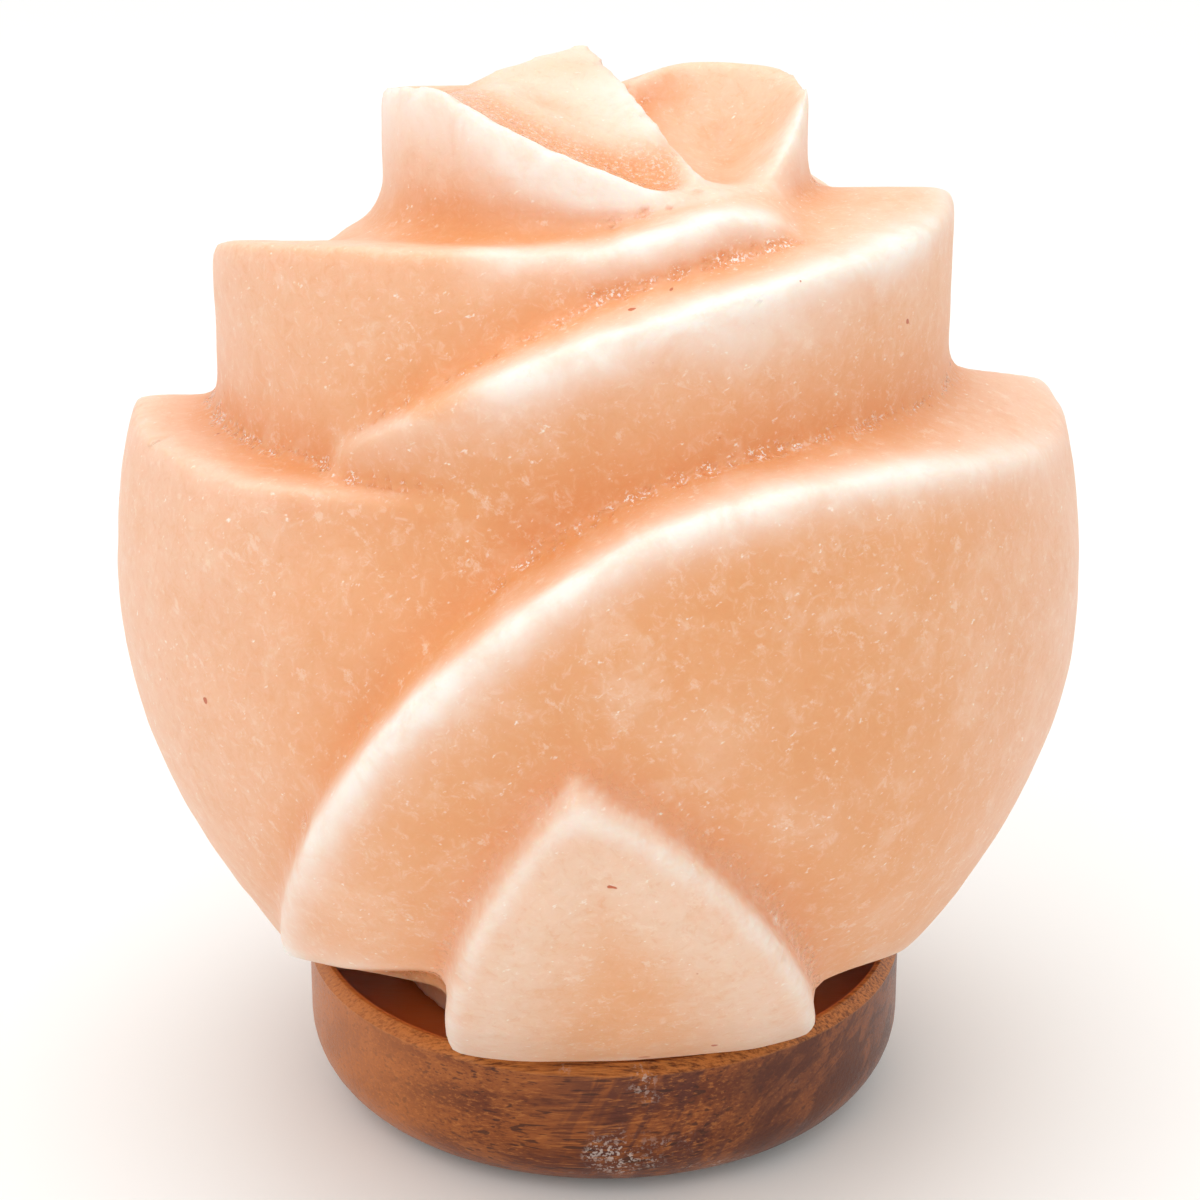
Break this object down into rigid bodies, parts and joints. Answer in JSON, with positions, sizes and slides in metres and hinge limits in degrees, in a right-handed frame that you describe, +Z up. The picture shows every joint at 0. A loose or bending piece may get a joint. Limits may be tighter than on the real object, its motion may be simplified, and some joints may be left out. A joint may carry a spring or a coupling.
{
  "type": "salt crystal lamp",
  "caption": "Table lamp of rock salt carved as a rose on a turned wooden base, with a pull-out screw bulb holder in a chamber drilled from below.",
  "frame": {"origin": "on the surface below the lamp, at the middle of its outline", "axes": "+Z up; the front petal and the front sepal face -Y; +X to the right seen from the front"},
  "size_m": [0.1621, 0.1708, 0.184],
  "materials": {
    "salt": "satin",
    "wood": "gloss",
    "rubber": "matte",
    "steel": "satin",
    "plated_steel": "polished",
    "spring_steel": "satin",
    "plug_plastic": "matte",
    "holder_plastic": "satin",
    "insert_ceramic": "gloss",
    "brass": "satin",
    "bulb_metal": "satin",
    "black_glass": "gloss",
    "solder": "satin",
    "clear_glass": "polished",
    "wire": "satin",
    "tungsten": "satin"
  },
  "bodies": {
    "stand": {"wood_base": "wood", "salt_rose": "salt", "rubber_feet": "rubber", "base_screws": "steel", "wall_plugs": "plug_plastic"},
    "holder": {"socket_plate": "plated_steel", "clip_bracket": "steel", "clip_pins": "steel", "nipple": "plated_steel", "nipple_nut": "plated_steel", "holder_cap": "holder_plastic", "holder_skirt": "holder_plastic", "contact_insert": "insert_ceramic", "thread_shell": "brass", "contact_tongue": "brass", "terminal_screws": "brass"},
    "clip_left": {"spring_clip_left": "spring_steel"},
    "clip_right": {"spring_clip_right": "spring_steel"},
    "bulb": {"bulb_cap": "bulb_metal", "cap_insulator": "black_glass", "tip_contact": "solder", "bulb_glass": "clear_glass", "glass_stem": "clear_glass", "lead_wires": "wire", "filament": "tungsten"}
  },
  "joints": [
    {"name": "holder_slide", "type": "slide", "parent": "stand", "child": "holder", "axis": [0, 0, -1], "range_m": [0, 0.095]},
    {"name": "bulb_turn", "type": "hinge", "parent": "holder", "child": "bulb", "pos_m": [0, 0, 0.045], "axis": [0, 0, 1], "range_deg": [0, 1080]},
    {"name": "clip_left_flex", "type": "hinge", "parent": "holder", "child": "clip_left", "pos_m": [-0.0165, 0, 0.015], "axis": [0, 1, 0], "range_deg": [0, 8], "stiffness_Nm_per_rad": 0.1, "springref_deg": -5.73},
    {"name": "clip_right_flex", "type": "hinge", "parent": "holder", "child": "clip_right", "pos_m": [0.0165, 0, 0.015], "axis": [0, -1, 0], "range_deg": [0, 8], "stiffness_Nm_per_rad": 0.1, "springref_deg": -5.73}
  ]
}
